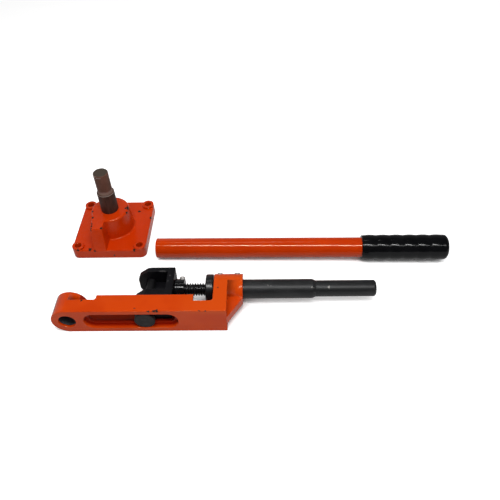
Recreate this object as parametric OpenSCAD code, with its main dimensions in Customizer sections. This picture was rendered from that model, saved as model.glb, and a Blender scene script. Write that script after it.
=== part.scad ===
// Manual pipe bender laid out on a bench: base with its post, swing arm with a
// screw-fed follower, and the extension handle that slips over the lever rod.
// Millimetres, +Z up, origin on the bench under the post.

/* [Layout on the bench] */
// Pivot axis of the arm, from the post axis
arm_x = -30.4; // [-60:0.1:0]
// Front face of the arm, from the post axis
arm_y = -217.3; // [-300:0.1:-200]
// Open end of the handle, from the post axis
handle_x = 83.2; // [76:0.1:140]
// Handle axis at its open end, from the post axis
handle_y = -57.2; // [-70:0.1:0]
// Turn of the handle on the bench
handle_yaw = -1.2; // [-2:0.1:2]

/* [Base casting] */
// Distance between neighbouring bench bolt holes
bolt_spacing = 105; // [98:1:125]
// Diameter of the bench bolt holes
bolt_hole_d = 11; // [8:0.5:13]
// Diameter of the raised bolt pads, which also round the corners of the plate
pad_d = 20.6; // [18:0.2:26]
// Height of the pads above the plate
pad_h = 3.7; // [1:0.1:8]
// Thickness of the plate
plate_t = 17.3; // [14:0.1:26]
// Diameter of the boss at its top
boss_d = 64; // [58:1:72]
// Height of the boss above the plate
boss_h = 39.3; // [32:0.1:55]
// How far the side of the boss spreads from top to plate
draft = 3.3; // [0.5:0.1:4]
// Rounding of the boss at its top
boss_round = 3; // [1:0.5:6]
// Width of the stop rib at its front
rib_w = 19; // [14:0.1:22]
// How far the sides of the rib spread from top to plate
rib_draft = 2; // [0.5:0.1:4]
// Right side of the rib, left of the post axis
rib_offset = 4.2; // [1:0.1:9]
// Front top edge of the rib, in front of the post axis
rib_reach = 52; // [46:1:56]
// Foot of the rib, behind the front edge of the plate
rib_setback = 1.8; // [0.5:0.1:4]

/* [Post] */
// Diameter of the thin part, which the arm turns on
post_d = 24.5; // [20:0.5:26.5]
// Length of the thin part
post_len = 38.9; // [34:0.1:55]
// Diameter of the thick part, which the bending die sits on
seat_d = 29; // [28:0.5:36]
// Length of the thick part
seat_len = 39.3; // [25:0.1:60]
// Edge break at the top of both parts
post_chamfer = 1.2; // [0.4:0.1:2]
// Thread diameter of the tail under the boss
tail_d = 24; // [16:1:26]
// Height of the pocket under the base that hides nut and washer
pocket_h = 24; // [20:0.5:30]
// Thickness of the washer
washer_t = 3; // [2:0.5:5]
// Thickness of the nut
nut_t = 13; // [10:0.5:14]

/* [Arm casting] */
// Height of the arm as it lies, also the diameter of its round ends
arm_h = 47.7; // [45:0.1:56]
// Pivot axis to the right end of the body
arm_len = 239; // [232:1:280]
// Thickness of the slotted front wall
web_t = 13; // [11:0.1:16]
// Thickness of the top and bottom rails
rail_t = 7; // [5:0.1:9]
// Reach of the rails behind the front face
rail_reach = 32; // [27:0.1:34]
// Reach of the top rail beside the pivot
notch_reach = 23.5; // [19:0.1:26]
// Right end of the step beside the pivot, from the pivot axis
notch_end = 43; // [38:0.5:50]
// Reach of the rails under the hand wheel
gap_reach = 20.3; // [16:0.1:24]
// Length of the gap for the hand wheel
gap_len = 29; // [24:0.1:36]
// Rounding in the corners of the rails
rail_fillet = 4; // [1:0.5:5]
// Thickness of the lug that carries the rod
lug_t = 21; // [16:0.1:30]
// Length of the rod socket, lug included
socket_len = 44; // [36:0.1:60]
// Rod axis behind the front face
rod_y = 61.4; // [59:0.1:70]
// Thickness of the gusset beside the socket
gusset_t = 15.5; // [8:0.5:20]
// Width of the outer step of the slot
slot_w = 31.5; // [26:0.1:33]
// Depth of the outer step of the slot
slot_step = 6.8; // [4:0.1:9]
// Width of the inner slot
guide_w = 20; // [17:0.1:22]
// Pivot axis to the left end of the pin's travel
slot_start = 41; // [40:0.1:46]
// Travel of the pin along the slot
slot_travel = 110; // [106:0.1:120]
// Wall of the pivot bush
bush_wall = 2.2; // [1.5:0.1:3]
// Painted lip in front of the bush
lip_t = 4; // [2:0.1:8]

/* [Lever rod] */
// Diameter of the thick part, held in the socket
rod_d = 30; // [28:0.1:34]
// Lug face to the end of the thick part
rod_len = 151; // [145:1:180]
// Length of the thin end that takes the handle
tip_len = 98; // [80:1:140]
// Length of the cone between the two
cone_len = 5; // [3:0.5:10]
// Set screw diameter
set_screw_d = 8; // [5:0.5:9]
// How far the set screws stand out of the socket
set_screw_proud = 1.5; // [0.5:0.1:3]

/* [Adjuster] */
// Screw thread diameter
screw_d = 20; // [16:0.5:21]
// Screw pitch
screw_pitch = 4; // [3:0.5:5]
// Screw length beyond the collar
screw_len = 125; // [121:1:128]
// Room between the wheel's rim and the bench
wheel_room = 0.35; // [0.3:0.05:4]
// Thickness of the hand wheel
wheel_t = 11.6; // [8:0.1:11.8]
// Play between the wheel and the lug
wheel_play = 1.3; // [0.3:0.1:1.5]
// Diameter of the lock collar
collar_d = 33; // [29:0.1:36]
// Length of the lock collar
collar_len = 14.9; // [12:0.1:15.1]
// Diameter of the collar's set screw
collar_screw_d = 6; // [4:0.5:6.5]
// Diameter of that screw's round head
collar_head_d = 8.6; // [7:0.1:9.5]
// How far the collar's set screw stands out
collar_screw_proud = 3.9; // [2:0.1:4.5]

/* [Follower] */
// Pivot axis to the follower pin as photographed
pin_x = 116.6; // [114:0.1:117]
// Diameter of the pin through the block
pin_d = 13; // [10:0.5:14]
// Pin axis to the left end of the block
block_nose = 20; // [16:0.1:20.4]
// Length of the block
block_len = 59.7; // [54:0.1:59.9]
// Width of the pocket between the cheeks
pocket_w = 34; // [32:0.1:36]
// Thickness of the far cheek
cheek_t = 9.4; // [7:0.1:12]
// Thickness of the end wall
wall_t = 11.3; // [9:0.1:14]
// Pocket floor below the pin axis
floor_drop = 1.4; // [0:0.1:4]
// Pin axis to the throat at the pocket's open end
throat = 9; // [8:0.1:12]
// Height of the block below the arm's faces, each side
block_room = 0.6; // [0.4:0.1:3]
// Diameter of the pin that locks the screw in the block
lock_pin_d = 5; // [3:0.5:6]

/* [Handle] */
// Outer diameter of the tube
tube_d = 33.4; // [32:0.1:36]
// Wall of the tube
tube_wall = 3.2; // [2.6:0.1:4]
// Length of the handle
handle_len = 484; // [400:1:700]
// Length of the grip
grip_len = 141; // [120:1:200]
// Outer diameter of the grip
grip_d = 42; // [39:0.1:46]
// Depth of the waists in the grip
grip_waist = 0.9; // [0.2:0.1:1.5]
// Swells along the grip
grip_swells = 6; // [4:1:9]
// Thickness of the grip's closed end
grip_end = 4; // [2:0.1:8]

/* [Hidden] */
$fn = 96;

// Paint and metal colours
paint = "orangered";
black_steel = "dimgray";
bare_steel = "rosybrown";
bright_steel = "silver";
vinyl = "black";

// Clearances: turning fit, pressed fit, sliding fit, slip fit of handle and rod
turn_fit = 0.05;
press_fit = 0.02;
slide_fit = 0.3;
slip_fit = 0.8;
// Room around hidden pieces: pocket beside the washer, tail below the nut, rod bore around the screw
pocket_room = 2;
tail_proud = 3;
rod_bore_room = 0.75;
rod_bore_spare = 4;
// Overlap that joins two solids of one casting, and overshoot of a cut
weld = 1;
cut = 1;

// Base
plate_w = bolt_spacing + pad_d;
boss_top = plate_t + boss_h;
rib_foot = plate_w / 2 - rib_setback;
nut_af = 1.5 * tail_d;
washer_d = 1.85 * tail_d;
nut_pocket_d = washer_d + 2 * pocket_room;
tail_end = pocket_h - washer_t - nut_t - tail_proud;

// Arm
mid = arm_h / 2;
lug_x = arm_len - lug_t;
socket_end = lug_x + socket_len;
gap_x = lug_x - gap_len;
pivot_len = post_len - slide_fit;
bush_bore = post_d + 2 * turn_fit;
bush_d = bush_bore + 2 * bush_wall;
lip_d = post_d + 2 * slide_fit + bush_wall / 3;
rod_front = rod_y - arm_h / 2;

// Rod and handle
tube_bore = tube_d - 2 * tube_wall;
tip_d = tube_bore - 2 * slip_fit;
rod_start = lug_x + slide_fit;
rod_step = lug_x + rod_len;
rod_end = rod_step + tip_len;
rod_bore_d = screw_d + 2 * rod_bore_room;
set_screw_places = [0.19 * socket_len, 0.8 * socket_len];
set_screw_tilt = 45;
collar_screw_place = 0.73;
collar_seat = collar_d / 2 - collar_head_d / 10;
handle_tilt = atan((grip_d - tube_d) / 2 / (handle_len - grip_len));
tube_len = handle_len - grip_end;
grip_start = handle_len - grip_len;

// Follower
block_x = pin_x - block_nose;
block_end = block_x + block_len;
near_face = rail_reach + slide_fit;
pocket_near = rod_y - pocket_w / 2;
pocket_far = rod_y + pocket_w / 2;
far_face = pocket_far + cheek_t;
block_low = block_room;
foot_inset = 2;
block_high = arm_h - block_room;
floor_z = mid - floor_drop;
collar_x = block_end + slide_fit;
screw_start = block_end - wall_t;
screw_end = collar_x + collar_len + screw_len;
slide_right = slot_start + slot_travel - pin_x;
rod_bore_end = screw_end + slide_right + rod_bore_spare;

// Pin
head_d = slot_w - 2 * slide_fit;
head_t = slot_step - 2 * slide_fit;
guide_d = guide_w - 2 * slide_fit;
ring_t = 1.2;
ring_groove = 1;
pin_tail = 2;
ring_d = pin_d + 4;
ring_y = far_face + 2 * turn_fit;
pin_end = ring_y + ring_t + pin_tail;

// Wheel
wheel_d = arm_h - 2 * wheel_room;
wheel_x = lug_x - wheel_play - wheel_t;

// Points along an arc, counter-clockwise from angle a to angle b
function arc(center, r, a, b, steps = 8) =
    [for (i = [0:steps]) center + r * [cos(a + (b - a) * i / steps), sin(a + (b - a) * i / steps)]];

// Solid along +X from x, about the axis at y, z
module along_x(x, y, z) {
    translate([x, y, z]) rotate([0, 90, 0]) children();
}

// Solid along +Y from y, about the axis at x, z
module along_y(x, y, z) {
    translate([x, y, z]) rotate([-90, 0, 0]) children();
}

// Outline in X and Z, extruded along Y from y0 to y1
module wall_y(y0, y1) {
    translate([0, y1, 0]) rotate([90, 0, 0]) linear_extrude(y1 - y0) children();
}

// Outline in Y and Z, extruded along X from x0 to x1
module wall_x(x0, x1) {
    translate([x0, 0, 0]) rotate([90, 0, 90]) linear_extrude(x1 - x0) children();
}

// Round bar along +X from a half outline of length and radius
module turned_x(x, y, z, outline) {
    translate([x, y, z]) rotate([0, 90, 0]) rotate_extrude() polygon([for (p = outline) [p[1], p[0]]]);
}

// Filling of an inner corner, quarter turns counted from the corner that opens to +X +Y
module corner_fill(x, y, r, quarter) {
    translate([x, y]) rotate(90 * quarter) difference() {
        translate([-cut, -cut]) square(r + cut);
        translate([r, r]) circle(r);
    }
}

// Long hole from x0 to x1 with round ends
module slot_outline(x0, x1, w) {
    translate([x0, mid]) circle(d = w);
    translate([x1, mid]) circle(d = w);
    translate([x0, mid - w / 2]) square([x1 - x0, w]);
}

// The arm and all it carries
module place_arm() {
    translate([arm_x, arm_y, 0]) children();
}

// The handle leans from its grip down to its open end
module place_handle() {
    translate([handle_x, handle_y, tube_d / 2 * cos(handle_tilt)])
        rotate([0, -handle_tilt, handle_yaw]) children();
}

// The four bench bolt places
module at_bolts() {
    for (sx = [-1, 1], sy = [-1, 1]) {
        translate([sx * bolt_spacing / 2, sy * bolt_spacing / 2, 0]) children();
    }
}

// Plan of the stop rib, spread by s at its free sides, with its front at y
module rib_plan(s, y) {
    polygon([
        [0, 0],
        [-rib_offset + s, 0],
        [-rib_offset + s, -y],
        [-rib_offset - rib_w - s, -y],
        [-boss_d / 2 + rib_draft - s, 0]
    ]);
}

// Square plate, four pads, drafted boss and rib
module base_casting() {
    color(paint) difference() {
        union() {
            linear_extrude(plate_t) {
                square([plate_w, bolt_spacing], center = true);
                square([bolt_spacing, plate_w], center = true);
                at_bolts() circle(d = pad_d);
            }
            at_bolts() cylinder(h = plate_t + pad_h, d = pad_d);
            rotate_extrude() polygon(concat(
                [[0, plate_t - weld], [boss_d / 2 + draft, plate_t - weld], [boss_d / 2 + draft, plate_t]],
                arc([boss_d / 2 - boss_round, boss_top - boss_round], boss_round, 0, 90),
                [[0, boss_top]]
            ));
            hull() {
                translate([0, 0, plate_t - weld]) linear_extrude(weld) rib_plan(rib_draft, rib_foot);
                translate([0, 0, boss_top - weld]) linear_extrude(weld) rib_plan(0, rib_reach);
            }
        }
        at_bolts() translate([0, 0, -cut]) cylinder(h = plate_t + pad_h + 2 * cut, d = bolt_hole_d);
        translate([0, 0, -cut]) cylinder(h = boss_top + 2 * cut, d = tail_d + 2 * turn_fit);
        translate([0, 0, -cut]) cylinder(h = pocket_h + cut, d = nut_pocket_d);
    }
}

// Stepped post with its tail in the base
module pivot_post() {
    color(bare_steel) rotate_extrude() polygon([
        [0, tail_end],
        [tail_d / 2 - post_chamfer, tail_end],
        [tail_d / 2, tail_end + post_chamfer],
        [tail_d / 2, boss_top],
        [seat_d / 2, boss_top],
        [seat_d / 2, boss_top + seat_len - post_chamfer],
        [seat_d / 2 - post_chamfer, boss_top + seat_len],
        [post_d / 2, boss_top + seat_len],
        [post_d / 2, boss_top + seat_len + post_len - post_chamfer],
        [post_d / 2 - post_chamfer, boss_top + seat_len + post_len],
        [0, boss_top + seat_len + post_len]
    ]);
}

// Washer against the roof of the pocket
module post_washer() {
    color(bright_steel) translate([0, 0, pocket_h - washer_t]) difference() {
        cylinder(h = washer_t, d = washer_d);
        translate([0, 0, -cut]) cylinder(h = washer_t + 2 * cut, d = tail_d + 2 * turn_fit);
    }
}

// Six-sided nut under the washer
module post_nut() {
    color(bright_steel) translate([0, 0, pocket_h - washer_t - nut_t]) difference() {
        cylinder(h = nut_t, d = nut_af / cos(30), $fn = 6);
        translate([0, 0, -cut]) cylinder(h = nut_t + 2 * cut, d = tail_d + 2 * turn_fit);
    }
}

// Plan of the bottom rail: full reach, gap under the wheel
module rail_plan() {
    square([lug_x + weld, gap_reach]);
    square([gap_x, rail_reach]);
    corner_fill(lug_x, gap_reach, rail_fillet, 1);
}

// Plan of the top rail, with a step beside the pivot
module stepped_rail_plan() {
    square([lug_x + weld, gap_reach]);
    square([gap_x, notch_reach]);
    translate([notch_end, 0]) square([gap_x - notch_end, rail_reach]);
    corner_fill(notch_end, notch_reach, rail_fillet, 1);
    corner_fill(lug_x, gap_reach, rail_fillet, 1);
}

// Front of the arm with its round pivot end
module arm_face() {
    square([arm_len, arm_h]);
    translate([0, mid]) circle(d = arm_h);
}

// Cast channel arm
module arm_frame() {
    color(paint) place_arm() difference() {
        union() {
            wall_y(0, web_t) arm_face();
            wall_y(0, pivot_len) translate([0, mid]) circle(d = arm_h);
            linear_extrude(rail_t) rail_plan();
            translate([0, 0, arm_h - rail_t]) linear_extrude(rail_t) stepped_rail_plan();
            wall_x(lug_x, arm_len) {
                square([rod_y, arm_h]);
                translate([rod_y, mid]) circle(d = arm_h);
            }
            wall_x(lug_x, socket_end) translate([rod_y, mid]) circle(d = arm_h);
            translate([0, 0, mid - gusset_t / 2]) linear_extrude(gusset_t) polygon([
                [arm_len - weld, 0],
                [arm_len, 0],
                [socket_end, rod_front],
                [socket_end, rod_y - rod_d / 2 - weld],
                [arm_len - weld, rod_y - rod_d / 2 - weld]
            ]);
        }
        wall_y(-cut, slot_step) slot_outline(slot_start, slot_start + slot_travel, slot_w);
        wall_y(-cut, web_t + cut) slot_outline(slot_start, slot_start + slot_travel, guide_w);
        along_y(0, -cut, mid) cylinder(h = pivot_len + 2 * cut, d = lip_d);
        along_y(0, lip_t, mid) cylinder(h = pivot_len, d = bush_d + 2 * press_fit);
        along_x(lug_x - cut, rod_y, mid) cylinder(h = socket_len + 2 * cut, d = rod_d + 2 * press_fit);
        at_set_screws() cylinder(h = arm_h, d = set_screw_d + 2 * turn_fit);
    }
}

// Plain bush pressed in from the back of the pivot boss
module pivot_bush() {
    color(bright_steel) place_arm() difference() {
        along_y(0, lip_t, mid) cylinder(h = pivot_len - lip_t, d = bush_d);
        along_y(0, lip_t - cut, mid) cylinder(h = pivot_len + cut, d = bush_bore);
    }
}

// Places of the set screws, pointing out of the socket
module at_set_screws() {
    for (s = set_screw_places) {
        translate([lug_x + s, rod_y, mid]) rotate([set_screw_tilt - 90, 0, 0]) children();
    }
}

// Set screws with their sockets, on the rod
module rod_set_screws() {
    color(bright_steel) place_arm() at_set_screws() difference() {
        translate([0, 0, rod_d / 2 + press_fit])
            cylinder(h = mid - rod_d / 2 + set_screw_proud, d = set_screw_d);
        translate([0, 0, mid + set_screw_proud - set_screw_d / 3])
            cylinder(h = set_screw_d, d = set_screw_d / 2, $fn = 6);
    }
}

// Stepped lever rod, hollow where the screw runs back
module lever_rod() {
    color(black_steel) place_arm() difference() {
        turned_x(0, rod_y, mid, concat(
            [[rod_start, 0], [rod_start, rod_d / 2], [rod_step, rod_d / 2], [rod_step + cone_len, tip_d / 2]],
            arc([rod_end - tip_d / 6, tip_d / 2 - tip_d / 6], tip_d / 6, 90, 0),
            [[rod_end, 0]]
        ));
        along_x(rod_start - cut, rod_y, mid) cylinder(h = rod_bore_end - rod_start + cut, d = rod_bore_d);
    }
}

// Round hand wheel with a threaded bore and softened rims
module adjuster_wheel() {
    rim = wheel_t / 8;
    color(black_steel) place_arm() difference() {
        turned_x(wheel_x, rod_y, mid, concat(
            [[0, 0]],
            arc([rim, wheel_d / 2 - rim], rim, 180, 90),
            arc([wheel_t - rim, wheel_d / 2 - rim], rim, 90, 0),
            [[wheel_t, 0]]
        ));
        along_x(wheel_x - cut, rod_y, mid) cylinder(h = wheel_t + 2 * cut, d = screw_d + 4 * turn_fit);
    }
}

// Side view of a cheek, cut away at the top of its open end
module cheek_outline() {
    slant = 0.35 * (block_high - block_low);
    heel = slant / 2;
    polygon([
        [block_end, block_low],
        [block_end, block_high],
        [block_x + 1.3 * slant, block_high],
        [block_x + slant, block_high - slant / 12],
        [block_x + slant / 5, block_high - 0.7 * slant],
        [block_x, block_high - 1.15 * slant],
        [block_x, block_low + heel],
        [block_x + heel / 5, block_low + heel / 2],
        [block_x + 0.8 * heel, block_low]
    ]);
}

// Block with two cheeks, pocket floor, end wall and a foot between the rails
module follower_block() {
    foot_low = rail_t + slide_fit;
    color(black_steel) place_arm() difference() {
        union() {
            wall_y(near_face, far_face) cheek_outline();
            translate([block_x + foot_inset, web_t + slide_fit, foot_low])
                cube([block_len - 2 * foot_inset, near_face - web_t + weld, arm_h - 2 * foot_low]);
        }
        translate([block_x - cut, pocket_near, floor_z])
            cube([block_len - wall_t + cut, pocket_w, arm_h]);
        translate([block_x - cut, pocket_near, -cut])
            cube([block_nose - throat + cut, pocket_w, arm_h]);
        along_y(pin_x, 0, mid) cylinder(h = far_face + cut, d = pin_d + 2 * turn_fit);
        along_x(screw_start - cut, rod_y, mid) cylinder(h = wall_t + 2 * cut, d = screw_d + 2 * turn_fit);
        at_lock_pin() cylinder(h = mid, d = lock_pin_d + 2 * turn_fit);
    }
}

// Bottom of the lock pin, in the middle of the end wall
module at_lock_pin() {
    translate([block_end - wall_t / 2, rod_y, block_low]) children();
}

// Pin up through the end wall into the screw
module screw_lock_pin() {
    color(bright_steel) place_arm() at_lock_pin() cylinder(h = mid - turn_fit, d = lock_pin_d);
}

// Trapezoidal screw, threaded from the collar to its end
module adjusting_screw() {
    thread_x = collar_x + collar_len;
    crest = 0.37 * screw_pitch;
    slope = 0.13 * screw_pitch;
    root = screw_d / 2 - screw_pitch / 2;
    turns = floor((screw_len - screw_pitch) / screw_pitch);
    color(black_steel) place_arm() difference() {
        turned_x(0, rod_y, mid, concat(
            [[screw_start, 0], [screw_start, screw_d / 2]],
            [for (i = [0:turns - 1], p = [
                [crest, screw_d / 2],
                [crest + slope, root],
                [screw_pitch - slope, root],
                [screw_pitch, screw_d / 2]
            ]) [thread_x + i * screw_pitch + p[0], p[1]]],
            [[screw_end - slope, screw_d / 2], [screw_end, root], [screw_end, 0]]
        ));
        at_lock_pin() cylinder(h = mid, d = lock_pin_d + 2 * turn_fit);
    }
}

// Round collar that locks the screw against the block
module lock_collar() {
    edge = collar_len / 16;
    color(black_steel) place_arm() difference() {
        turned_x(collar_x, rod_y, mid, [
            [0, 0],
            [0, collar_d / 2],
            [collar_len - edge, collar_d / 2],
            [collar_len, collar_d / 2 - edge],
            [collar_len, 0]
        ]);
        along_x(collar_x - cut, rod_y, mid) cylinder(h = collar_len + 2 * cut, d = screw_d + 2 * turn_fit);
        at_collar_screw() {
            cylinder(h = collar_d, d = collar_screw_d + 2 * turn_fit);
            translate([0, 0, collar_seat]) cylinder(h = collar_d, d = collar_head_d + 4 * turn_fit);
        }
    }
}

// Place of the collar's set screw, pointing up and back
module at_collar_screw() {
    translate([collar_x + collar_screw_place * collar_len, rod_y, mid])
        rotate([set_screw_tilt - 90, 0, 0]) children();
}

// Set screw with a round head and a socket, on the adjusting screw
module collar_set_screw() {
    round = 0.36 * collar_head_d;
    under = collar_seat + turn_fit;
    top = collar_d / 2 + collar_screw_proud;
    color(bright_steel) place_arm() at_collar_screw() difference() {
        rotate_extrude() polygon(concat(
            [[0, screw_d / 2 + press_fit], [collar_screw_d / 2, screw_d / 2 + press_fit]],
            [[collar_screw_d / 2, under], [collar_head_d / 2, under]],
            arc([collar_head_d / 2 - round, top - round], round, 0, 90),
            [[0, top]]
        ));
        translate([0, 0, top - collar_screw_d / 3])
            cylinder(h = collar_screw_d, d = collar_screw_d / 2, $fn = 6);
    }
}

// Pin with its head and guide in the slot
module follower_pin() {
    edge = 0.8;
    color(bright_steel) place_arm() along_y(pin_x, 0, mid) rotate_extrude() polygon([
        [0, slide_fit],
        [head_d / 2 - edge, slide_fit],
        [head_d / 2, slide_fit + edge],
        [head_d / 2, slide_fit + head_t],
        [guide_d / 2, slide_fit + head_t],
        [guide_d / 2, web_t],
        [pin_d / 2, web_t],
        [pin_d / 2, ring_y],
        [pin_d / 2 - ring_groove, ring_y],
        [pin_d / 2 - ring_groove, ring_y + ring_t],
        [pin_d / 2, ring_y + ring_t],
        [pin_d / 2, pin_end - edge],
        [pin_d / 2 - edge, pin_end],
        [0, pin_end]
    ]);
}

// Open ring in the groove at the end of the pin
module pin_snap_ring() {
    color(bright_steel) place_arm() difference() {
        along_y(pin_x, ring_y, mid) cylinder(h = ring_t, d = ring_d);
        along_y(pin_x, ring_y - cut, mid)
            cylinder(h = ring_t + 2 * cut, d = pin_d - 2 * ring_groove + 2 * turn_fit);
        translate([pin_x - pin_d / 4, ring_y - cut, mid - pin_d]) cube([pin_d / 2, ring_t + 2 * cut, pin_d]);
    }
}

// Painted tube, open at its left end
module handle_tube() {
    edge = tube_wall / 3;
    color(paint) place_handle() difference() {
        turned_x(0, 0, 0, concat(
            [[0, 0]],
            arc([edge, tube_d / 2 - edge], edge, 180, 90),
            [[tube_len, tube_d / 2], [tube_len, 0]]
        ));
        along_x(-cut, 0, 0) cylinder(h = tube_len + 2 * cut, d = tube_bore);
    }
}

// Moulded grip: swells and waists, closed round end
module handle_grip() {
    end_r = grip_d / 5;
    swell = (grip_len - end_r) / grip_swells;
    steps = 8 * grip_swells;
    color(vinyl) place_handle() difference() {
        turned_x(grip_start, 0, 0, concat(
            [[0, 0]],
            [for (i = [0:steps]) let (x = (grip_len - end_r) * i / steps)
                [x, grip_d / 2 - grip_waist / 2 * (1 - cos(360 * x / swell))]],
            arc([grip_len - end_r, grip_d / 2 - end_r], end_r, 80, 0),
            [[grip_len, 0]]
        ));
        along_x(grip_start - cut, 0, 0) cylinder(h = tube_len - grip_start + cut, d = tube_d + 2 * press_fit);
    }
}

base_casting();
pivot_post();
post_washer();
post_nut();
arm_frame();
pivot_bush();
lever_rod();
rod_set_screws();
adjuster_wheel();
follower_block();
adjusting_screw();
lock_collar();
collar_set_screw();
screw_lock_pin();
follower_pin();
pin_snap_ring();
handle_tube();
handle_grip();
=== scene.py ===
from math import atan, cos, hypot, pi, radians, sin

import bmesh
import bpy
from mathutils import Matrix, Vector


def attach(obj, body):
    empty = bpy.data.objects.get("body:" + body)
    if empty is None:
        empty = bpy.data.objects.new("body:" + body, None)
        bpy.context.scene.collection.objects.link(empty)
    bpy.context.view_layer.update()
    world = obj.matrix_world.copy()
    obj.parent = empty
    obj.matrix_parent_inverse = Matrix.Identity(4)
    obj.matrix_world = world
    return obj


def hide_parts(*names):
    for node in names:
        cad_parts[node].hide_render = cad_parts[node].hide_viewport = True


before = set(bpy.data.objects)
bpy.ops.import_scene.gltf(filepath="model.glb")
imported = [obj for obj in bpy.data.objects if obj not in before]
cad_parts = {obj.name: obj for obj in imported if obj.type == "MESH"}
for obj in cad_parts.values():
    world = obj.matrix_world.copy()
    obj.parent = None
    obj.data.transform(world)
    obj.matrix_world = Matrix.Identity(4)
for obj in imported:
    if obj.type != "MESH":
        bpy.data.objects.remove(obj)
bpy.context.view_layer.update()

# Places and sizes below are in millimetres, as on the part's drawing.
MM = 0.001
PLATE_T, PLATE_W = 17.3, 125.6
BOLT, BOLT_R, PAD_R, PAD_H = 52.5, 5.5, 10.3, 3.7
BOSS_TOP, BOSS_R, BOSS_DRAFT = 56.6, 32.0, 3.3
POCKET_TOP, POCKET_R, TAIL_BORE_R = 24, 24.2, 12.05
SEAT_TOP, POST_TOP = 95.9, 134.8
MID, ROD_Y = 23.85, 61.4
GRIP_START, GRIP_LEN, GRIP_R = 343.0, 141.0, 21.0
SWELL, GRIP_WAIST, FIRST_WAIST = 21.8, 0.9, 2.7
TUBE_R = 16.7
ARM = Matrix.Translation((-30.4, -217.3, 0))
TILT = atan(4.3 / 343)
HANDLE = (Matrix.Translation((83.2, -57.2, TUBE_R * cos(TILT)))
          @ Matrix.Rotation(radians(-1.2), 4, "Z") @ Matrix.Rotation(-TILT, 4, "Y"))


def along_x(x, y, z):
    """Turns a piece that was made about Z to lie along +X from a point."""
    return Matrix.Translation((x, y, z)) @ Matrix.Rotation(pi / 2, 4, "Y")


def along_y(x, y, z):
    """Turns a piece that was made about Z to lie along +Y from a point."""
    return Matrix.Translation((x, y, z)) @ Matrix.Rotation(-pi / 2, 4, "X")


# Shapes


def spun(outline, steps=96, closed=False):
    """Turned piece about Z from (radius, height) points."""
    bm = bmesh.new()
    row = [bm.verts.new((r, 0, h)) for r, h in outline]
    pairs = list(zip(row, row[1:])) + ([(row[-1], row[0])] if closed else [])
    for a, b in pairs:
        bm.edges.new((a, b))
    bmesh.ops.spin(bm, geom=bm.verts[:] + bm.edges[:], cent=(0, 0, 0), axis=(0, 0, 1), angle=2 * pi,
                   steps=steps, use_merge=True)
    bmesh.ops.remove_doubles(bm, verts=bm.verts, dist=1e-4)
    bmesh.ops.recalc_face_normals(bm, faces=bm.faces)
    return bm


def ease(bm, radius, segments=3, choose=None, sharp=28, clamp=True):
    """Rounds the sharp edges, all of them or those that choose picks."""
    edges = [e for e in bm.edges if len(e.link_faces) == 2 and e.calc_face_angle() > radians(sharp)]
    if choose:
        edges = [e for e in edges if choose(e)]
    bmesh.ops.bevel(bm, geom=edges, offset=radius, offset_type="OFFSET", segments=segments, profile=0.5,
                    affect="EDGES", material=-1, clamp_overlap=clamp)
    bmesh.ops.dissolve_degenerate(bm, dist=0.002, edges=bm.edges)
    return bm


def clear_of(holes):
    """Picks outward edges clear of drilled holes, each given by a point, a direction and a radius."""
    def outside(edge):
        if not edge.is_convex:
            return False
        centre = (edge.verts[0].co + edge.verts[1].co) / 2
        for point, way, radius in holes:
            if (centre - Vector(point)).cross(Vector(way).normalized()).length < radius:
                return False
        return True
    return outside


def casting_of(node):
    """Merged copy of a drawn casting, in millimetres, with its flat faces whole."""
    bm = bmesh.new()
    bm.from_mesh(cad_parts[node].data)
    bmesh.ops.scale(bm, vec=(1 / MM, 1 / MM, 1 / MM), verts=bm.verts)
    bmesh.ops.remove_doubles(bm, verts=bm.verts, dist=1e-3)
    bmesh.ops.dissolve_limit(bm, angle_limit=radians(0.3), verts=bm.verts, edges=bm.edges)
    return bm


def fuse(shapes):
    """One closed mesh from shapes that reach into each other."""
    solids = []
    for bm in shapes:
        mesh = bpy.data.meshes.new("to_fuse")
        bm.to_mesh(mesh)
        bm.free()
        solids.append(bpy.data.objects.new("to_fuse", mesh))
        bpy.context.scene.collection.objects.link(solids[-1])
    for other in solids[1:]:
        union = solids[0].modifiers.new("union", "BOOLEAN")
        union.operation, union.solver, union.object = "UNION", "EXACT", other
    whole = solids[0].evaluated_get(bpy.context.evaluated_depsgraph_get())
    bm = bmesh.new()
    bm.from_mesh(whole.to_mesh())
    whole.to_mesh_clear()
    for solid in solids:
        mesh = solid.data
        bpy.data.objects.remove(solid)
        bpy.data.meshes.remove(mesh)
    bmesh.ops.remove_doubles(bm, verts=bm.verts, dist=1e-3)
    bmesh.ops.dissolve_degenerate(bm, dist=1e-3, edges=bm.edges)
    return bm


def threaded(radius, depth, pitch, length, steps=48):
    """Screw with a real helical thread, from height 0 to its length."""
    bm = bmesh.new()
    root = radius - depth
    outline = [(root, 0), (root, 0.26 * pitch), (radius, 0.5 * pitch), (radius, 0.74 * pitch), (root, pitch)]
    row = [bm.verts.new((r, 0, h - pitch)) for r, h in outline]
    for a, b in zip(row, row[1:]):
        bm.edges.new((a, b))
    turns = int(length / pitch) + 3
    bmesh.ops.spin(bm, geom=bm.verts[:] + bm.edges[:], cent=(0, 0, 0), axis=(0, 0, 1),
                   dvec=(0, 0, pitch / steps), angle=2 * pi * turns, steps=steps * turns)
    bmesh.ops.remove_doubles(bm, verts=bm.verts, dist=1e-3)
    for height, side in ((0, -1), (length, 1)):
        bmesh.ops.bisect_plane(bm, geom=bm.verts[:] + bm.edges[:] + bm.faces[:], plane_co=(0, 0, height),
                               plane_no=(0, 0, side), clear_outer=True, dist=1e-3)
        rim = [e for e in bm.edges if e.is_boundary and all(abs(v.co.z - height) < 1e-3 for v in e.verts)]
        bmesh.ops.holes_fill(bm, edges=rim, sides=0)
    bmesh.ops.dissolve_degenerate(bm, dist=1e-3, edges=bm.edges)
    bmesh.ops.recalc_face_normals(bm, faces=bm.faces)
    return bm


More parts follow.
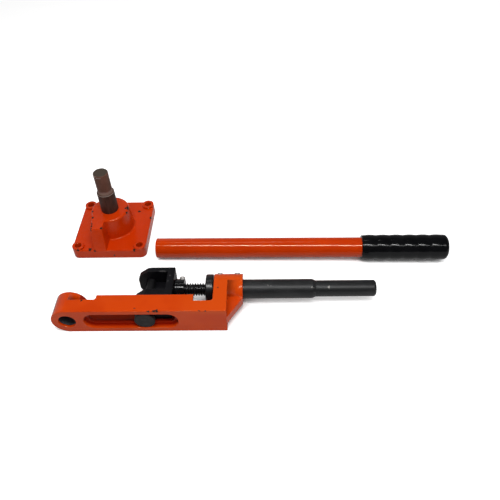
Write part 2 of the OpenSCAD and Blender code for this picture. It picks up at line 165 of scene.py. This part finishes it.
def settle(name, bm, place, body, node, finish, smooth=40, level=True):
    """Makes the mesh a piece that stands for its drawn solid and moves with its body.

    Edges sharper than smooth degrees stay crisp, and level keeps the shading of wide faces flat.
    """
    bmesh.ops.transform(bm, matrix=Matrix.Scale(MM, 4) @ place, verts=bm.verts)
    mesh = bpy.data.meshes.new(name)
    bm.to_mesh(mesh)
    bm.free()
    mesh.shade_smooth()
    mesh.set_sharp_from_angle(angle=radians(smooth))
    mesh.materials.append(finish)
    piece = bpy.data.objects.new(name, mesh)
    bpy.context.scene.collection.objects.link(piece)
    if level:
        weighting = piece.modifiers.new("flat faces", "WEIGHTED_NORMAL")
        weighting.keep_sharp = True
    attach(piece, body)
    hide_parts(node)


# Finishes


def plug(tree, socket, value):
    """Sets a socket to a number or colour, or links it to a wire."""
    if isinstance(value, Wire):
        tree.links.new(value.socket, socket)
    else:
        socket.default_value = value


class Wire:
    """A value in a finish; sums and products of wires add Math nodes."""

    def __init__(self, tree, socket):
        self.tree = tree
        self.socket = socket

    def maths(self, operation, first, second):
        node = self.tree.nodes.new("ShaderNodeMath")
        node.operation = operation
        plug(self.tree, node.inputs[0], first)
        plug(self.tree, node.inputs[1], second)
        return Wire(self.tree, node.outputs[0])

    def __add__(self, other):
        return self.maths("ADD", self, other)

    __radd__ = __add__

    def __sub__(self, other):
        return self.maths("SUBTRACT", self, other)

    def __rsub__(self, other):
        return self.maths("SUBTRACT", other, self)

    def __mul__(self, other):
        return self.maths("MULTIPLY", self, other)

    __rmul__ = __mul__

    def __truediv__(self, other):
        return self.maths("DIVIDE", self, other)

    def most(self, other):
        return self.maths("MAXIMUM", self, other)


class Wiring:
    """A node tree that is put together node by node."""

    def __init__(self, tree):
        self.tree = tree
        self.tree.nodes.clear()

    def add(self, kind, settings=None, inputs=None, output=0):
        node = self.tree.nodes.new(kind)
        for key, value in (settings or {}).items():
            setattr(node, key, value)
        for key, value in (inputs or {}).items():
            plug(self.tree, node.inputs[key], value)
        return Wire(self.tree, node.outputs[output]) if node.outputs else None

    def ramp(self, value, low, high, start=0.0, end=1.0):
        return self.add("ShaderNodeMapRange", {"interpolation_type": "SMOOTHSTEP"},
                        {"Value": value, "From Min": low, "From Max": high, "To Min": start, "To Max": end})


class Finish(Wiring):
    """A material, with places in millimetres."""

    def __init__(self, name):
        self.material = bpy.data.materials.new(name)
        self.material.use_nodes = True
        super().__init__(self.material.node_tree)
        metres = self.add("ShaderNodeTexCoord", output="Object")
        self.spot = self.add("ShaderNodeVectorMath", {"operation": "SCALE"}, {0: metres, "Scale": 1 / MM})

    def noise(self, size, detail=2.0, stretch=None, output="Fac"):
        where = self.spot
        if stretch:
            where = self.add("ShaderNodeVectorMath", {"operation": "MULTIPLY"}, {0: where, 1: stretch})
        return self.add("ShaderNodeTexNoise", None,
                        {"Vector": where, "Scale": 1 / size, "Detail": detail}, output)

    def tint(self, factor, first, second):
        full = [c if isinstance(c, Wire) else (*c, 1.0) for c in (first, second)]
        return self.add("ShaderNodeMix", {"data_type": "RGBA"}, {0: factor, 6: full[0], 7: full[1]}, 2)

    def relief(self, height, depth, strength=1.0):
        return self.add("ShaderNodeBump", None,
                        {"Strength": strength, "Distance": depth * MM, "Height": height}, "Normal")

    def axis(self, letter):
        return self.add("ShaderNodeSeparateXYZ", None, {0: self.spot}, letter)

    def chips(self, places, edge=0.2):
        """Mask of flaked spots, from (x, y, z, radius), with ragged edges."""
        shake = self.spot
        ragged = ((3.4, 5.0), (0.9, 1.8))
        drift = sum(throw for _, throw in ragged) / 2
        for size, throw in ragged:
            shake = self.add("ShaderNodeVectorMath", {"operation": "MULTIPLY_ADD"},
                             {0: self.noise(size, 1.0, output="Color"), 1: (throw, throw, throw), 2: shake})
        worst = None
        for x, y, z, radius in places:
            away = self.add("ShaderNodeVectorMath", {"operation": "DISTANCE"},
                            {0: shake, 1: (x + drift, y + drift, z + drift)}, "Value")
            depth = 1 - away / radius
            worst = depth if worst is None else worst.most(depth)
        return self.ramp(worst, 0.0, edge)

    def surface(self, **inputs):
        shader = self.add("ShaderNodeBsdfPrincipled", None,
                          {key.replace("_", " "): value for key, value in inputs.items()})
        self.add("ShaderNodeOutputMaterial", None, {"Surface": shader})
        return self.material


ORANGE = ((0.63, 0.056, 0.003), (0.58, 0.046, 0.0022))
RED_ORANGE = ((0.59, 0.037, 0.001), (0.54, 0.031, 0.0008))
TUBE_ORANGE = ((0.575, 0.04, 0.0012), (0.525, 0.034, 0.001))
# Paler orange painted as light on the arm's upper faces towards the lug.
PAINTED_LIGHT_ORANGE = (0.63, 0.066, 0.0042)
# Dark red painted as shade in the arm's slot.
PAINTED_SHADE_ORANGE = (0.3, 0.011, 0.001)
SCALE_IRON = (0.013, 0.008, 0.006)


def arm_painted_light_and_shade(f, colour):
    """Painted light and shade on the arm: the upper faces paler and yellower towards the lug as painted
    light, and the slot behind the front face darker as painted shade.
    """
    across = f.axis("Z") - MID
    between_rails = f.ramp(across.most(0.0 - across), 16.2, 18.0, 1.0, 0.0)
    before_lug = f.ramp(f.axis("X"), 140.0, 150.0, 1.0, 0.0)
    behind_face = f.ramp(f.axis("Y"), -216.2, -210.4)
    towards_lug = f.ramp(f.axis("X"), 110.0, 190.0)
    near_top = f.ramp(f.axis("Z"), 36.0, 47.0)
    # Painted light: the upper faces turn paler and yellower towards the lug.
    colour = f.tint(towards_lug * near_top, colour, PAINTED_LIGHT_ORANGE)
    # Painted shade: the slot between the rails, behind the front face, turns dark red.
    return f.tint(between_rails * before_lug * behind_face, colour, PAINTED_SHADE_ORANGE)


def orange_paint(name, shades, grain, peel, gloss, chips, light_and_shade_paint=None):
    """Glossy sprayed enamel over a casting whose sand grain still shows, with flaked spots."""
    f = Finish(name)
    colour = f.tint(f.ramp(f.noise(45, 2.0), 0.35, 0.65), *shades)
    sand = f.noise(3.2, 3.0)
    skin = f.noise(1.6, 1.0)
    haze = f.noise(14, 3.0)
    rough = 0.06 + peel + 0.1 * haze
    height = grain * sand + peel * skin
    # Painted light and shade, where a function for it is given (the arm's).
    if light_and_shade_paint:
        colour = light_and_shade_paint(f, colour)
    flaked = f.chips(chips)
    colour = f.tint(flaked, colour, SCALE_IRON)
    rough = rough + 0.4 * flaked
    height = height - 0.6 * flaked
    return f.surface(Base_Color=colour, Roughness=rough, Specular_IOR_Level=gloss,
                     Specular_Tint=(1.0, 0.95, 0.68, 1.0), Normal=f.relief(height, 0.2))


def post_steel():
    """Browned bare steel: rubbed bright in a band above the shoulder, darker on the thick part."""
    f = Finish("post_steel")
    z = f.axis("Z")
    streak = f.noise(5, 3.0, (1, 1, 0.25))
    fleck = f.noise(1.1, 2.0)
    upper = f.tint(f.ramp(streak, 0.3, 0.7), (0.105, 0.044, 0.029), (0.15, 0.066, 0.046))
    lower = f.tint(f.ramp(streak, 0.3, 0.7), (0.042, 0.017, 0.012), (0.075, 0.032, 0.023))
    thick = f.ramp(z, 96.4, 95.6)
    rubbed = f.ramp(z + 5.0 * streak, 106.0, 101.0) * (1 - thick)
    lip = f.ramp(z, 93.9, 94.5) * f.ramp(z, 95.4, 94.9)
    colour = f.tint(thick, upper, lower)
    colour = f.tint(0.7 * rubbed, colour, (0.3, 0.2, 0.165))
    colour = f.tint(0.75 * lip, colour, (0.34, 0.27, 0.23))
    colour = f.tint(f.ramp(z, 134.3, 134.7), colour, (0.06, 0.044, 0.033))
    nick = f.chips([(-7.5, -9.7, 133.0, 1.6), (-4.6, -11.4, 132.2, 1.9),
                    (-1.2, -12.2, 131.6, 1.7), (2.2, -12.0, 131.2, 1.2)])
    colour = f.tint(0.75 * nick, colour, (0.34, 0.3, 0.27))
    rough = 0.42 + 0.22 * fleck - 0.14 * rubbed
    return f.surface(Base_Color=colour, Roughness=rough, Specular_IOR_Level=0.15,
                     Normal=f.relief(streak + 0.4 * fleck, 0.1, 0.5))


def black_steel(name, base, rough, gloss=0.3):
    """Blackened machined steel with faint turning marks and dust."""
    f = Finish(name)
    cloud = f.noise(9, 3.0)
    fine = f.noise(0.8, 2.0)
    dark = (base, base, base * 1.15)
    worn = (base * 1.8, base * 1.8, base * 2.1)
    colour = f.tint(f.ramp(cloud, 0.45, 0.8), dark, worn)
    return f.surface(Base_Color=colour, Roughness=rough + 0.1 * cloud, Specular_IOR_Level=gloss,
                     Normal=f.relief(fine, 0.02, 0.3))


def rod_scale():
    """Dark mill scale on the lever rod, mottled, with a few rubbed bright specks by the step."""
    f = Finish("rod_scale")
    cloud = f.noise(12, 4.0, (0.4, 1, 1))
    mottle = f.noise(2.2, 3.0)
    colour = f.tint(f.ramp(cloud, 0.35, 0.7), (0.0095, 0.0097, 0.0105), (0.0165, 0.0167, 0.0182))
    colour = f.tint(f.ramp(mottle, 0.58, 0.72) * 0.4, colour, (0.045, 0.045, 0.046))
    dust = f.chips([(337, -163.9, 36.6, 1.4), (341, -165.5, 34.8, 1.0), (363.4, -163, 34.4, 1.6),
                    (345, -162, 36.0, 0.9), (270, -161, 38.0, 0.7), (274, -161.4, 37.8, 0.7),
                    (232.5, -163, 36.8, 1.0)])
    colour = f.tint(0.7 * dust, colour, (0.4, 0.38, 0.35))
    return f.surface(Base_Color=colour, Roughness=0.36 + 0.12 * mottle, Specular_IOR_Level=0.34,
                     Normal=f.relief(mottle + 0.6 * cloud, 0.07, 0.6))


def black_iron():
    """Black paint on the cast block, lighter grey along the far cheek's inner edge."""
    f = Finish("black_iron")
    sand = f.noise(2.2, 3.0)
    cloud = f.noise(11, 3.0)
    colour = f.tint(f.ramp(cloud, 0.4, 0.75), (0.0032, 0.003, 0.0042), (0.0055, 0.0052, 0.0068))
    grey_edge_marks = f.chips([(103, -138.3, 47.2, 2.4), (106, -138.3, 47.2, 3.0), (109.5, -138.3, 47.2, 2.4),
                     (119, -146.0, 47.0, 1.4), (117, -158.0, 47.0, 1.2)], 0.8)
    colour = f.tint(0.5 * grey_edge_marks, colour, (0.12, 0.115, 0.115))
    return f.surface(Base_Color=colour, Roughness=0.34 + 0.2 * cloud, Specular_IOR_Level=0.16,
                     Normal=f.relief(sand, 0.1, 0.5))


def pin_steel():
    """Grey raw steel of the follower pin, pitted and scratched, with painted shade on the shank inside the
    block's pocket.
    """
    f = Finish("pin_steel")
    pit = f.noise(1.5, 3.0)
    cloud = f.noise(6, 3.0)
    scratch = f.noise(3, 2.0, (0.25, 1, 1.6))
    colour = f.tint(f.ramp(cloud, 0.35, 0.7), (0.0075, 0.0065, 0.0068), (0.0155, 0.0135, 0.0135))
    colour = f.tint(0.5 * f.ramp(scratch, 0.62, 0.72), colour, (0.075, 0.073, 0.073))
    # Painted shade: the shank past the neck, inside the block's pocket, is made nearly black.
    colour = f.tint(f.ramp(f.axis("Y"), -204.5, -203.5), colour, (0.0055, 0.0052, 0.006))
    return f.surface(Base_Color=colour, Roughness=0.45 + 0.2 * pit, Specular_IOR_Level=0.26,
                     Normal=f.relief(pit + 0.5 * scratch, 0.1, 0.7))


def zinc(name):
    """Dull zinc on small hardware."""
    f = Finish(name)
    cloud = f.noise(4, 3.0)
    colour = f.tint(f.ramp(cloud, 0.3, 0.7), (0.5, 0.48, 0.46), (0.62, 0.6, 0.58))
    return f.surface(Base_Color=colour, Metallic=0.4 + 0.3 * cloud, Roughness=0.36 + 0.2 * cloud)


def grip_vinyl():
    """Glossy dipped vinyl with a faint skin."""
    f = Finish("grip_vinyl")
    skin = f.noise(1.4, 2.0)
    cloud = f.noise(16, 2.0)
    colour = f.tint(f.ramp(cloud, 0.35, 0.7), (0.0034, 0.0035, 0.0041), (0.0048, 0.0049, 0.0057))
    return f.surface(Base_Color=colour, Roughness=0.12 + 0.06 * cloud, Specular_IOR_Level=0.2,
                     Normal=f.relief(skin, 0.03, 0.3))


# Base


def base_plate():
    """Square plate with round corners, four bolt holes and the opening for the nut."""
    bm = bmesh.new()
    half = PLATE_W / 2
    corners = [bm.verts.new((x * half, y * half, 0)) for x, y in ((-1, -1), (1, -1), (1, 1), (-1, 1))]
    bm.faces.new(corners)
    bmesh.ops.bevel(bm, geom=bm.verts[:], offset=PAD_R, offset_type="OFFSET", segments=12, profile=0.5,
                    affect="VERTICES", material=-1)
    bmesh.ops.delete(bm, geom=bm.faces[:], context="FACES_ONLY")
    holes = [(x, y, BOLT_R) for x in (-BOLT, BOLT) for y in (-BOLT, BOLT)] + [(0, 0, POCKET_R)]
    for x, y, radius in holes:
        bmesh.ops.create_circle(bm, cap_ends=False, segments=64, radius=radius,
                                matrix=Matrix.Translation((x, y, 0)))
    bmesh.ops.triangle_fill(bm, edges=bm.edges[:], use_beauty=True, use_dissolve=False)
    lifted = bmesh.ops.extrude_face_region(bm, geom=bm.faces[:], use_keep_orig=True)
    bmesh.ops.translate(bm, vec=(0, 0, PLATE_T),
                        verts=[v for v in lifted["geom"] if isinstance(v, bmesh.types.BMVert)])
    bmesh.ops.recalc_face_normals(bm, faces=bm.faces)
    bmesh.ops.dissolve_limit(bm, angle_limit=radians(0.3), verts=bm.verts, edges=bm.edges)

    def outer(edge):
        a, b = (v.co for v in edge.verts)
        x, y = abs(a.x), abs(a.y)
        in_hole = hypot(x - BOLT, y - BOLT) <= BOLT_R + 0.5
        return abs(a.z - b.z) < 1e-4 and max(x, y) > BOLT + 0.5 and not in_hole

    ease(bm, 1.6, 4, lambda e: outer(e) and e.verts[0].co.z > 1)
    return ease(bm, 0.35, 2, lambda e: outer(e) and e.verts[0].co.z < 1)


def bolt_pad():
    """Raised pad with its hole, sunk a little into the plate."""
    low, high, outer_r = PLATE_T - 2.2, PLATE_T + PAD_H, PAD_R - 0.02
    bm = spun([(BOLT_R, low), (BOLT_R, high), (outer_r, high), (outer_r, low)], 64, closed=True)
    return ease(bm, 0.9, 3, lambda e: min(v.co.z for v in e.verts) > PLATE_T)


def boss():
    """Drafted boss that flares into the plate, hollow for the nut and bored for the post."""
    flare, edge_r, mouth_r = 3.0, 3, 12.6
    foot_r, low = BOSS_R + BOSS_DRAFT, PLATE_T - 1
    swept = [(foot_r + flare * (1 - sin(a)) - 0.2, PLATE_T + flare * (1 - cos(a)) - 0.02)
             for a in (radians(9 * i) for i in range(9))]
    rim = [(BOSS_R - edge_r + edge_r * cos(a), BOSS_TOP - edge_r + edge_r * sin(a))
           for a in (radians(15 * i) for i in range(7))]
    hollow = [(TAIL_BORE_R, POCKET_TOP), (POCKET_R, POCKET_TOP), (POCKET_R, low), (foot_r + flare, low)]
    mouth = [(mouth_r, BOSS_TOP), (TAIL_BORE_R, BOSS_TOP - 0.5)]
    return spun(hollow + swept + rim + mouth, 128, closed=True)


def stop_rib():
    """Upright rib in front of the boss, drafted, whose foot runs out to the plate's front edge."""
    bm = bmesh.new()
    top_over_foot = {(-20.5, -20.5): (-19.5, -19.5), (-32, 0): (-30, 0), (-25.2, -62.6): (-23.2, -52),
                     (-2.2, -62.6): (-4.2, -52), (-2.2, -30): (-4.2, -26)}
    ground = bm.faces.new([bm.verts.new((x, y, PLATE_T - 1)) for x, y in top_over_foot])
    raised = bmesh.ops.extrude_face_region(bm, geom=[ground])["geom"]
    for vert in [v for v in raised if isinstance(v, bmesh.types.BMVert)]:
        x, y = top_over_foot[(round(vert.co.x, 1), round(vert.co.y, 1))]
        vert.co = (x, y, BOSS_TOP - 0.05)
    bmesh.ops.recalc_face_normals(bm, faces=bm.faces)
    return ease(bm, 1.1, 4, lambda e: max(v.co.z for v in e.verts) > PLATE_T
                and min(v.co.y for v in e.verts) < -1)


def make_base():
    paint = orange_paint("base_paint", RED_ORANGE, 2.2, 0.06, 0.32, [
        (-29.6, -7, 56.5, 2.4), (-25.8, -22.5, 56.5, 2.6), (-24.2, -38, 56.4, 2.3), (-23.8, -44, 56.3, 2.7),
        (-23.4, -50, 55.6, 3.1), (-5.0, -48.5, 56.3, 3.0), (26.5, 0.5, 56.6, 2.3), (29.8, 3.5, 56.2, 2.5),
        (30.8, -0.5, 55.6, 2.9), (31.3, -9.5, 55.0, 2.7), (38.3, 36.4, 17.3, 2.6), (62.0, 19, 17, 2.4),
        (-51, -62, 18.5, 2.6), (-47, -58.5, 17.3, 2.8), (-31.4, -58, 17.3, 3.0), (-31.0, -60.5, 17.2, 2.5),
        (44.5, -62, 17, 2.8), (55, -59.9, 18.5, 2.5), (-62.5, -3.5, 17, 2.2), (-62.3, -26, 17, 2.3),
        (-62.5, 14, 17, 2.0), (9, -62.8, 6, 1.9), (-22.8, -62.6, 16.9, 2.1)])
    pads = []
    for sx in (-1, 1):
        for sy in (-1, 1):
            pads.append(bolt_pad())
            bmesh.ops.translate(pads[-1], vec=(sx * BOLT, sy * BOLT, 0), verts=pads[-1].verts)
    bm = fuse([base_plate(), *pads, boss(), stop_rib()])
    settle("base_casting_painted", bm, Matrix.Identity(4), "base", "base_casting", paint)


def make_post():
    end, tail_r, seat_r, peg_r, cut = 5, 12, 14.5, 12.25, 1.2
    tail = [(0, end), (tail_r - cut, end), (tail_r, end + cut), (tail_r, BOSS_TOP)]
    seat = [(seat_r, BOSS_TOP), (seat_r, SEAT_TOP - cut), (seat_r - cut, SEAT_TOP)]
    peg = [(peg_r, SEAT_TOP), (peg_r, POST_TOP - cut), (peg_r - cut, POST_TOP), (0, POST_TOP)]
    bm = spun(tail + seat + peg)
    ease(bm, 0.3, 2)
    settle("pivot_post_turned", bm, Matrix.Identity(4), "base", "pivot_post", post_steel())


# Arm


def make_arm():
    paint = orange_paint("arm_paint", ORANGE, 0.2, 0.05, 0.3, [
        (-7.7, -195.9, 47.7, 1.6), (94.4, -217.2, 47.6, 2.3), (103.5, -217.0, 47.6, 2.5),
        (107.5, -216.6, 47.6, 2.7), (169.6, -217.2, 47.6, 1.9), (178.0, -217.2, 47.6, 1.7),
        (194.7, -172.8, 47.7, 1.4), (74, -211, 47.7, 1.3)], arm_painted_light_and_shade)
    set_screw_holes = [((x, -139.03, 40.72), (0, 1, 1), 4.8) for x in (195.96, 222.8)]
    outside = clear_of(set_screw_holes)
    underside = 0.5
    bm = casting_of("arm_frame")
    ease(bm, 0.35, 2, lambda e: max(v.co.z for v in e.verts) < underside, clamp=False)
    ease(bm, 0.9, 3, lambda e: outside(e) and min(v.co.z for v in e.verts) > underside, clamp=False)
    for vert in bm.verts:
        vert.co.z = max(vert.co.z, 0.0)
    settle("arm_casting_painted", bm, Matrix.Identity(4), "arm", "arm_frame", paint)


def make_bush():
    bore_r, outer_r, length, start = 12.3, 14.5, 34.6, 4
    bm = spun([(bore_r, 0), (bore_r, length), (outer_r, length), (outer_r, 0)], 96, closed=True)
    ease(bm, 0.5, 2)
    settle("pivot_bush_turned", bm, ARM @ along_y(0, start, MID), "arm", "pivot_bush",
           black_steel("bush_steel", 0.03, 0.4))


def make_rod():
    bore_r, thick_r, thin_r, tip_r = 10.75, 15, 12.7, 4.2
    start, bore_end, step, thin_start, end = 218.3, 334.9, 369, 374, 467
    bore = [(0, bore_end), (bore_r, bore_end), (bore_r, start)]
    body = [(thick_r, start), (thick_r, step), (thin_r, thin_start)]
    tip = [(thin_r - tip_r + tip_r * sin(a), end - tip_r + tip_r * cos(a))
           for a in (radians(90 - 15 * i) for i in range(7))]
    bm = spun(bore + body + tip + [(0, end)])
    ease(bm, 0.5, 2, sharp=20)
    settle("lever_rod_turned", bm, ARM @ along_x(0, ROD_Y, MID), "arm", "lever_rod",
           rod_scale())


def make_set_screws():
    bm = ease(casting_of("rod_set_screws"), 0.35, 2)
    settle("rod_set_screws_plated", bm, Matrix.Identity(4), "arm", "rod_set_screws",
           zinc("set_screw_zinc"))


# Adjuster and follower


def make_wheel():
    bore_r, outer_r, width, start = 10.1, 23.5, 11.6, 205.1
    halfway = (bore_r + outer_r) / 2
    bm = spun([(bore_r, 0), (outer_r, 0), (outer_r, width), (bore_r, width)], 128, closed=True)
    ease(bm, 1.5, 4, lambda e: e.verts[0].co.xy.length > halfway)
    ease(bm, 0.6, 2, lambda e: e.verts[0].co.xy.length < halfway)
    settle("adjuster_wheel_turned", bm, ARM @ along_x(start, ROD_Y, MID), "adjuster", "adjuster_wheel",
           black_steel("wheel_black", 0.005, 0.24, 0.5))


def make_screw():
    radius, depth, pitch, cut_length, start = 10, 2.3, 4, 125, 171.5
    plain_end, lap = -26.5, 0.2
    plain = ease(spun([(0, plain_end), (radius, plain_end), (radius, lap), (0, lap)], 64), 0.4, 2)
    bm = fuse([threaded(radius, depth, pitch, cut_length), plain])
    settle("adjusting_screw_cut", bm, ARM @ along_x(start, ROD_Y, MID), "follower", "adjusting_screw",
           black_steel("screw_black", 0.004, 0.22), level=False)


def make_collar():
    bore_r, outer_r, width, start = 10.05, 16.5, 14.9, 156.6
    halfway = (bore_r + outer_r) / 2
    bm = spun([(bore_r, 0), (outer_r, 0), (outer_r, width), (bore_r, width)], 96, closed=True)
    ease(bm, 0.9, 4, lambda e: e.verts[0].co.xy.length > halfway)
    settle("lock_collar_turned", bm, ARM @ along_x(start, ROD_Y, MID), "follower", "lock_collar",
           black_steel("collar_black", 0.0035, 0.09))


def make_collar_screw():
    """Round-headed set screw with its six-sided socket."""
    tip, seat, top, dome_h = 10.02, 15.69, 20.4, 2.8
    shank_r, head_r, flat_r, socket_r, socket_depth = 3, 4.3, 1.9, 1.5, 2
    along_arm = 167.477
    dome = [(flat_r + (head_r - flat_r) * cos(a), top - dome_h + dome_h * sin(a))
            for a in (radians(15 * i) for i in range(7))]
    bm = spun([(0, tip), (shank_r, tip), (shank_r, seat), (head_r, seat)] + dome + [(0, top)], 48)
    middle = [v for v in bm.verts if v.co.z > top - 1e-3 and v.co.xy.length < socket_r]
    bmesh.ops.delete(bm, geom=middle, context="VERTS")
    rim = [e for e in bm.edges if e.is_boundary]
    socket = bmesh.ops.create_circle(bm, cap_ends=False, segments=6, radius=socket_r,
                                     matrix=Matrix.Translation((0, 0, top)))
    key = list({e for v in socket["verts"] for e in v.link_edges})
    bmesh.ops.triangle_fill(bm, edges=rim + key, use_beauty=True, use_dissolve=False)
    walls = bmesh.ops.extrude_edge_only(bm, edges=key)["geom"]
    deep = [v for v in walls if isinstance(v, bmesh.types.BMVert)]
    bmesh.ops.translate(bm, vec=(0, 0, -socket_depth), verts=deep)
    bmesh.ops.contextual_create(bm, geom=[e for e in walls if isinstance(e, bmesh.types.BMEdge)
                                          and all(v in deep for v in e.verts)])
    bmesh.ops.recalc_face_normals(bm, faces=bm.faces)
    tilt = Matrix.Rotation(radians(-45), 4, "X")
    settle("collar_set_screw_plated", bm, ARM @ Matrix.Translation((along_arm, ROD_Y, MID)) @ tilt,
           "follower", "collar_set_screw", zinc("collar_screw_zinc"))


def make_block():
    lock_pin_hole = ((120.25, -155.9, 0), (0, 0, 1), 3.2)
    bm = ease(casting_of("follower_block"), 0.9, 3, clear_of([lock_pin_hole]), clamp=False)
    settle("follower_block_painted", bm, Matrix.Identity(4), "follower", "follower_block",
           black_iron())


def make_pin():
    head_r, neck_r, shank_r, groove_r, cut = 15.45, 9.7, 6.5, 5.5, 0.8
    face, head_back, neck_end, groove_start, groove_end, end = 0.3, 6.5, 13, 87.9, 89.1, 91.1
    along_arm = 116.6
    head = [(0, face), (head_r - cut, face), (head_r, face + cut), (head_r, head_back)]
    neck = [(neck_r, head_back), (neck_r, neck_end)]
    shank = [(shank_r, neck_end), (shank_r, groove_start)]
    groove = [(groove_r, groove_start), (groove_r, groove_end)]
    tip = [(shank_r, groove_end), (shank_r, end - cut), (shank_r - cut, end), (0, end)]
    bm = spun(head + neck + shank + groove + tip)
    ease(bm, 0.25, 2)
    settle("follower_pin_turned", bm, ARM @ along_y(along_arm, 0, MID), "pin", "follower_pin",
           pin_steel())


def make_ring():
    bm = ease(casting_of("pin_snap_ring"), 0.15, 2)
    settle("pin_snap_ring_bent", bm, Matrix.Identity(4), "pin", "pin_snap_ring",
           zinc("ring_zinc"))


# Handle


def make_tube():
    bore_r, length, lip = 13.5, 480, 3
    outline = [(bore_r, 0), (TUBE_R, 0), (TUBE_R, lip), (TUBE_R, length), (bore_r, length), (bore_r, lip)]
    bm = ease(spun(outline, 96, closed=True), 1.0, 3, lambda e: e.verts[0].co.z < lip / 3)
    settle("handle_tube_painted", bm, HANDLE @ along_x(0, 0, 0), "handle", "handle_tube",
           orange_paint("tube_paint", TUBE_ORANGE, 0.02, 0.01, 0.35, [(150, -74, 22, 0.9)]), level=False)


def waist(height):
    """Depth of the waists between the swells of the grip, at a place along it."""
    return GRIP_WAIST * (1 - abs(sin(pi * (height - FIRST_WAIST) / SWELL)))


def make_grip():
    end_r, lip, ring, bore_end, bore_r = 8.4, 1.2, 0.7, 137, TUBE_R + 0.02
    mouth = [(0, bore_end), (bore_r, bore_end), (bore_r, 0), (GRIP_R - 1.6, 0), (GRIP_R - 0.4, 0.5)]
    body = [(GRIP_R, lip + ring * i) for i in range(int((GRIP_LEN - end_r - lip) / ring))]
    cap = [(GRIP_R - end_r + end_r * cos(a), GRIP_LEN - end_r + end_r * sin(a))
           for a in (radians(10 * i) for i in range(1, 10))]
    bm = spun(mouth + body + cap + [(0, GRIP_LEN)], 208)
    for vert in bm.verts:
        radius = vert.co.xy.length
        if radius > TUBE_R + 1 and vert.co.z > 0.4:
            fade = min(1.0, max(0.0, (GRIP_LEN - 4 - vert.co.z) / 8))
            vert.co.xy *= (radius - fade * waist(vert.co.z)) / radius
    bmesh.ops.recalc_face_normals(bm, faces=bm.faces)
    settle("handle_grip_dipped", bm, HANDLE @ along_x(GRIP_START, 0, 0), "handle", "handle_grip",
           grip_vinyl(), smooth=60, level=False)


def dress_hidden():
    """Finishes for the small hardware that keeps its drawn shape."""
    plated = zinc("hardware_zinc")
    for node in ("post_washer", "post_nut", "screw_lock_pin"):
        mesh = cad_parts[node].data
        mesh.materials.clear()
        mesh.materials.append(plated)


# Studio, in metres


def white_to_eye(f, plain, white, mirrored):
    """A level that is plain for the light on the object, white for the eye and its own for mirrors."""
    path = "ShaderNodeLightPath"
    looked = f.add(path, output="Is Camera Ray")
    bounced = f.add(path, output="Is Glossy Ray").most(f.add(path, output="Is Transmission Ray"))
    return plain + (white - plain) * looked + (mirrored - plain) * bounced


def studio_floor():
    bm = bmesh.new()
    bmesh.ops.create_grid(bm, x_segments=1, y_segments=1, size=6)
    mesh = bpy.data.meshes.new("studio_floor")
    bm.to_mesh(mesh)
    bm.free()
    f = Finish("studio_floor")
    pale = f.tint(f.add("ShaderNodeLightPath", output="Is Camera Ray"),
                  (0.55, 0.55, 0.55), (0.92, 0.92, 0.92))
    bounce = f.add("ShaderNodeBsdfDiffuse", None, {"Color": pale})
    # Painted shadow: the white glow seen by the eye fades where the floor is closed in, under and between
    # the parts.
    open_sky = f.add("ShaderNodeAmbientOcclusion", {"samples": 8}, {"Distance": 0.06}, "AO")
    glow_with_painted_shadow = f.ramp(open_sky, 0.22, 0.46, 0.0, 0.54)
    glow = f.add("ShaderNodeEmission", None,
                 {"Color": (1, 1, 1, 1), "Strength": white_to_eye(f, 0.0, glow_with_painted_shadow, 0.12)})
    both = f.add("ShaderNodeAddShader", None, {0: bounce, 1: glow})
    f.add("ShaderNodeOutputMaterial", None, {"Surface": both})
    mesh.materials.append(f.material)
    floor = bpy.data.objects.new("studio_floor", mesh)
    gap_below_object = 0.0006
    floor.location.z = -gap_below_object
    bpy.context.scene.collection.objects.link(floor)


def studio_world():
    world = bpy.data.worlds.new("studio")
    bpy.context.scene.world = world
    world.use_nodes = True
    f = Wiring(world.node_tree)
    way = f.add("ShaderNodeTexCoord", output="Generated")
    x, y, z = (f.add("ShaderNodeSeparateXYZ", None, {0: way}, letter) for letter in "XYZ")
    below_roof = f.ramp(z, 0.55, 0.78, 0.54, 0.045)
    to_back = f.ramp(y, -0.3, 0.3, 0.06, 1.0)
    to_left = f.ramp(x, -0.22, -0.05, 1.0, 0.3)
    walls = below_roof * to_back * to_left
    sky = f.add("ShaderNodeBackground", None,
                {"Color": (1, 1, 1, 1), "Strength": white_to_eye(f, 0.2, 1.0, walls)})
    f.add("ShaderNodeOutputWorld", None, {"Surface": sky})


def softbox(name, place, target, size, power, mirrored=True):
    """Soft lamp that faces a target; reflections show it only where mirrored is set."""
    lamp = bpy.data.lights.new(name, "AREA")
    lamp.shape = "RECTANGLE"
    lamp.size, lamp.size_y = size
    lamp.energy = power
    box = bpy.data.objects.new(name, lamp)
    box.location = place
    away = Vector(place) - Vector(target)
    box.rotation_euler = away.to_track_quat("Z", "Y").to_euler()
    box.visible_glossy = mirrored
    bpy.context.scene.collection.objects.link(box)


def camera():
    lens = bpy.data.cameras.new("camera")
    lens.lens = 39.845
    lens.sensor_width = 36
    lens.clip_start = 0.05
    eye = bpy.data.objects.new("camera", lens)
    eye.location = (0.26652, -0.71477, 0.68161)
    eye.rotation_euler = (radians(44.382), radians(1.53), radians(0.686))
    bpy.context.scene.collection.objects.link(eye)
    bpy.context.scene.camera = eye


make_base()
make_post()
make_arm()
make_bush()
make_rod()
make_set_screws()
make_wheel()
make_screw()
make_collar()
make_collar_screw()
make_block()
make_pin()
make_ring()
make_tube()
make_grip()
dress_hidden()
studio_floor()
studio_world()
softbox("near_strip", (0.3, -0.675, 1.55), (0.436, -0.299, 0.03), (1.148, 0.09), 16.5)
softbox("near_strip_end", (1.1, -0.964, 1.55), (1.236, -0.588, 0.03), (0.56, 0.09), 2.6)
softbox("far_strip", (0.11, 0.55, 1.55), (0.11, -0.1, 0.03), (0.66, 0.09), 1.4)
softbox("top_light", (0.42, 0.25, 1.6), (0.42, -0.1, 0), (1.2, 1.0), 5.7, False)
softbox("front_fill", (0.6, -1.2, 1.5), (0.25, -0.1, 0), (1.2, 0.8), 2.4, False)
camera()
bpy.context.scene.view_settings.view_transform = "Standard"
